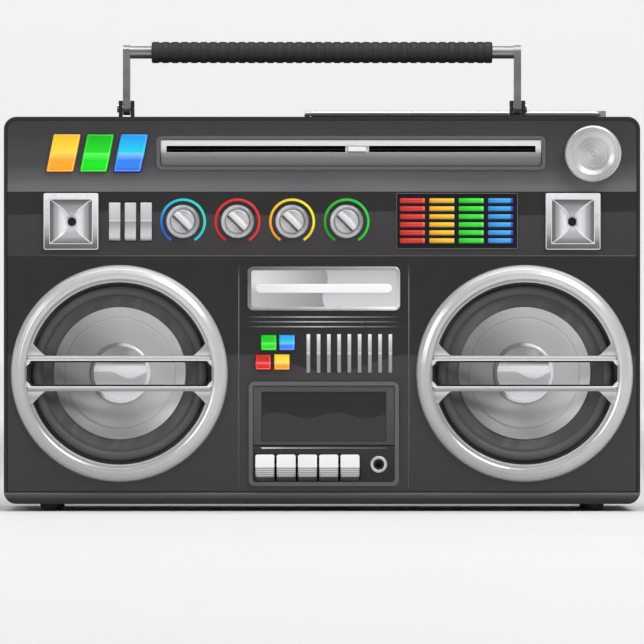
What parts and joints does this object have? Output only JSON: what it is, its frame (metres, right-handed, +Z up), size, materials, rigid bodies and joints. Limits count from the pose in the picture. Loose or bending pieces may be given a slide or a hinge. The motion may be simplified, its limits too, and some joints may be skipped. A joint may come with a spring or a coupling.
{
  "type": "boombox",
  "caption": "Wide portable stereo cassette radio with guarded woofers, horn tweeters, cassette deck, coloured keys, knobs, tuning scale, folding handle and telescopic antenna",
  "frame": {"origin": "On the surface it stands on, under the centre of the bounding box: midway between the sides, and midway between the tuning knob's face and the rear pads.", "axes": "+X to the right seen from the front, -Y out of the front, +Z up. The woofers face -Y."},
  "size_m": [0.7, 0.204, 0.521],
  "materials": {
    "case_black": "satin moulded black plastic with fine grain",
    "fascia_grey": "dark grey metallic lacquer",
    "fascia_black": "gloss black panel",
    "bezel_grey": "satin dark grey plastic",
    "smoked_window": "smoked glossy acrylic",
    "silver_satin": "satin silver metallised plastic",
    "turned_aluminium": "turned aluminium with fine rings",
    "cone_silver": "silver coated cone with radial brushing",
    "surround_rubber": "soft black rubber",
    "rubber_black": "matt black rubber",
    "frame_steel": "stamped steel",
    "bright_steel": "bright plated steel",
    "key_white": "white and silver moulded key",
    "key_yellow": "glossy translucent amber",
    "key_green": "glossy translucent green",
    "key_blue": "glossy translucent blue",
    "key_red": "glossy translucent red",
    "scale_print": "coloured printed arcs: blue, red, yellow and green",
    "meter_lamps": "glossy lamps in red, amber, green and blue",
    "display_white": "glossy white light strip",
    "reel_plastic": "black acetal",
    "flywheel_brass": "turned brass",
    "board_green": "green laminate with fitted parts"
  },
  "bodies": {
    "root": {"front_cabinet": "case_black", "rear_cabinet": "case_black", "upper_fascia": "fascia_grey", "control_fascia": "fascia_black", "lower_fascia": "fascia_black", "rubber_feet": "rubber_black", "fasteners": "bright_steel", "tuner_plate": "silver_satin", "knob_scales": "scale_print", "meter_window": "smoked_window", "meter_segments": "meter_lamps", "horn_left": "silver_satin", "horn_right": "silver_satin", "woofer_guard_left": "silver_satin", "woofer_guard_right": "silver_satin", "woofer_frames": "frame_steel", "woofer_surrounds": "surround_rubber", "display_frame": "silver_satin", "display_light": "display_white", "silver_inlays": "silver_satin", "deck_bezel": "bezel_grey", "headphone_jack": "bright_steel", "deck_chassis": "frame_steel", "drive_belt": "rubber_black", "circuit_boards": "board_green", "power_contacts": "flywheel_brass"},
    "pointer": {"tuner_pointer": "silver_satin"},
    "tuning": {"tuning_knob": "turned_aluminium"},
    "fkey_yellow": {"function_key_yellow": "key_yellow"},
    "fkey_green": {"function_key_green": "key_green"},
    "fkey_blue": {"function_key_blue": "key_blue"},
    "rocker_left": {"rocker_power": "silver_satin"},
    "rocker_middle": {"rocker_loudness": "silver_satin"},
    "rocker_right": {"rocker_mono": "silver_satin"},
    "volume": {"volume_knob": "turned_aluminium"},
    "balance": {"balance_knob": "turned_aluminium"},
    "bass": {"bass_knob": "turned_aluminium"},
    "treble": {"treble_knob": "turned_aluminium"},
    "cone_left": {"woofer_cone_left": "cone_silver"},
    "cone_right": {"woofer_cone_right": "cone_silver"},
    "pkey_green": {"push_key_green": "key_green"},
    "pkey_blue": {"push_key_blue": "key_blue"},
    "pkey_red": {"push_key_red": "key_red"},
    "pkey_orange": {"push_key_orange": "key_yellow"},
    "door": {"cassette_door": "bezel_grey", "door_window": "smoked_window"},
    "tape_record": {"key_record": "key_white"},
    "tape_play": {"key_play": "key_white"},
    "tape_rewind": {"key_rewind": "key_white"},
    "tape_forward": {"key_forward": "key_white"},
    "tape_stop": {"key_stop": "key_white"},
    "supply": {"supply_spindle": "reel_plastic"},
    "takeup": {"takeup_spindle": "reel_plastic"},
    "capstan": {"capstan_flywheel": "flywheel_brass"},
    "handle": {"handle_frame": "turned_aluminium", "handle_grip": "rubber_black"},
    "knuckle": {"antenna_knuckle": "bright_steel"},
    "mast_outer": {"antenna_mast_outer": "bright_steel"},
    "mast_inner": {"antenna_mast_inner": "bright_steel"},
    "battery_lid": {"battery_door": "case_black"}
  },
  "joints": [
    {"name": "handle_fold", "type": "hinge", "parent": "root", "child": "handle", "pos_m": [0, 0.004, 0.447], "axis": [1, 0, 0], "range_deg": [-90, 0]},
    {"name": "antenna_swivel", "type": "hinge", "parent": "root", "child": "knuckle", "pos_m": [0.318, 0.088, 0.437], "axis": [0, 0, 1], "range_deg": [-180, 0]},
    {"name": "antenna_tilt", "type": "hinge", "parent": "knuckle", "child": "mast_outer", "pos_m": [0.318, 0.088, 0.4435], "axis": [0, 1, 0], "range_deg": [0, 90]},
    {"name": "antenna_telescope", "type": "slide", "parent": "mast_outer", "child": "mast_inner", "axis": [-1, 0, 0], "range_m": [0, 0.28]},
    {"name": "door_open", "type": "hinge", "parent": "root", "child": "door", "pos_m": [0.002, -0.084, 0.0743], "axis": [1, 0, 0], "range_deg": [0, 40]},
    {"name": "tuning_turn", "type": "hinge", "parent": "root", "child": "tuning", "pos_m": [0.2976, -0.09, 0.393], "axis": [0, 1, 0], "range_deg": [-900, 855]},
    {"name": "pointer_travel", "type": "slide", "parent": "root", "child": "pointer", "axis": [1, 0, 0], "range_m": [-0.19, 0.1815]},
    {"name": "volume_turn", "type": "hinge", "parent": "root", "child": "volume", "pos_m": [-0.1529, -0.09, 0.3188], "axis": [0, 1, 0], "range_deg": [-105, 195]},
    {"name": "balance_turn", "type": "hinge", "parent": "root", "child": "balance", "pos_m": [-0.0929, -0.09, 0.3188], "axis": [0, 1, 0], "range_deg": [-105, 195]},
    {"name": "bass_turn", "type": "hinge", "parent": "root", "child": "bass", "pos_m": [-0.0329, -0.09, 0.3188], "axis": [0, 1, 0], "range_deg": [-105, 195]},
    {"name": "treble_turn", "type": "hinge", "parent": "root", "child": "treble", "pos_m": [0.0271, -0.09, 0.3188], "axis": [0, 1, 0], "range_deg": [-105, 195]},
    {"name": "rocker_left_tip", "type": "hinge", "parent": "root", "child": "rocker_left", "pos_m": [-0.228, -0.079, 0.3188], "axis": [1, 0, 0], "range_deg": [0, 14]},
    {"name": "rocker_middle_tip", "type": "hinge", "parent": "root", "child": "rocker_middle", "pos_m": [-0.2107, -0.079, 0.3188], "axis": [1, 0, 0], "range_deg": [0, 14]},
    {"name": "rocker_right_tip", "type": "hinge", "parent": "root", "child": "rocker_right", "pos_m": [-0.1934, -0.079, 0.3188], "axis": [1, 0, 0], "range_deg": [0, 14]},
    {"name": "record_press", "type": "hinge", "parent": "root", "child": "tape_record", "pos_m": [-0.0628, -0.06, 0.05], "axis": [1, 0, 0], "range_deg": [0, 8], "stiffness_Nm_per_rad": 0.3, "springref_deg": -5.73},
    {"name": "play_press", "type": "hinge", "parent": "root", "child": "tape_play", "pos_m": [-0.0394, -0.06, 0.05], "axis": [1, 0, 0], "range_deg": [0, 8], "stiffness_Nm_per_rad": 0.3, "springref_deg": -5.73},
    {"name": "rewind_press", "type": "hinge", "parent": "root", "child": "tape_rewind", "pos_m": [-0.016, -0.06, 0.05], "axis": [1, 0, 0], "range_deg": [0, 8], "stiffness_Nm_per_rad": 0.3, "springref_deg": -5.73},
    {"name": "forward_press", "type": "hinge", "parent": "root", "child": "tape_forward", "pos_m": [0.0074, -0.06, 0.05], "axis": [1, 0, 0], "range_deg": [0, 8], "stiffness_Nm_per_rad": 0.3, "springref_deg": -5.73},
    {"name": "stop_press", "type": "hinge", "parent": "root", "child": "tape_stop", "pos_m": [0.0308, -0.06, 0.05], "axis": [1, 0, 0], "range_deg": [0, 8], "stiffness_Nm_per_rad": 0.3, "springref_deg": -5.73},
    {"name": "fkey_yellow_press", "type": "slide", "parent": "root", "child": "fkey_yellow", "axis": [0, 1, 0], "range_m": [0, 0.0025], "stiffness_N_per_m": 300, "springref_m": -0.001},
    {"name": "fkey_green_press", "type": "slide", "parent": "root", "child": "fkey_green", "axis": [0, 1, 0], "range_m": [0, 0.0025], "stiffness_N_per_m": 300, "springref_m": -0.001},
    {"name": "fkey_blue_press", "type": "slide", "parent": "root", "child": "fkey_blue", "axis": [0, 1, 0], "range_m": [0, 0.0025], "stiffness_N_per_m": 300, "springref_m": -0.001},
    {"name": "pkey_green_press", "type": "slide", "parent": "root", "child": "pkey_green", "axis": [0, 1, 0], "range_m": [0, 0.002], "stiffness_N_per_m": 300, "springref_m": -0.001},
    {"name": "pkey_blue_press", "type": "slide", "parent": "root", "child": "pkey_blue", "axis": [0, 1, 0], "range_m": [0, 0.002], "stiffness_N_per_m": 300, "springref_m": -0.001},
    {"name": "pkey_red_press", "type": "slide", "parent": "root", "child": "pkey_red", "axis": [0, 1, 0], "range_m": [0, 0.002], "stiffness_N_per_m": 300, "springref_m": -0.001},
    {"name": "pkey_orange_press", "type": "slide", "parent": "root", "child": "pkey_orange", "axis": [0, 1, 0], "range_m": [0, 0.002], "stiffness_N_per_m": 300, "springref_m": -0.001},
    {"name": "battery_lid_pull", "type": "slide", "parent": "root", "child": "battery_lid", "axis": [0, 1, 0], "range_m": [0, 0.06]},
    {"name": "cone_left_stroke", "type": "slide", "parent": "root", "child": "cone_left", "axis": [0, 1, 0], "range_m": [-0.003, 0.003], "stiffness_N_per_m": 1500},
    {"name": "cone_right_stroke", "type": "slide", "parent": "root", "child": "cone_right", "axis": [0, 1, 0], "range_m": [-0.003, 0.003], "stiffness_N_per_m": 1500, "deforming": ["woofer_surrounds"]},
    {"name": "supply_spin", "type": "hinge", "parent": "root", "child": "supply", "pos_m": [-0.01925, -0.07, 0.1068], "axis": [0, 1, 0], "continuous": true},
    {"name": "takeup_spin", "type": "hinge", "parent": "root", "child": "takeup", "pos_m": [0.02325, -0.07, 0.1068], "axis": [0, 1, 0], "continuous": true},
    {"name": "capstan_spin", "type": "hinge", "parent": "root", "child": "capstan", "pos_m": [0.036, -0.06, 0.079], "axis": [0, 1, 0], "continuous": true}
  ],
  "couplings": [
    {"joint": "pointer_travel", "follows": "tuning_turn", "m_per_rad": 0.012}
  ]
}
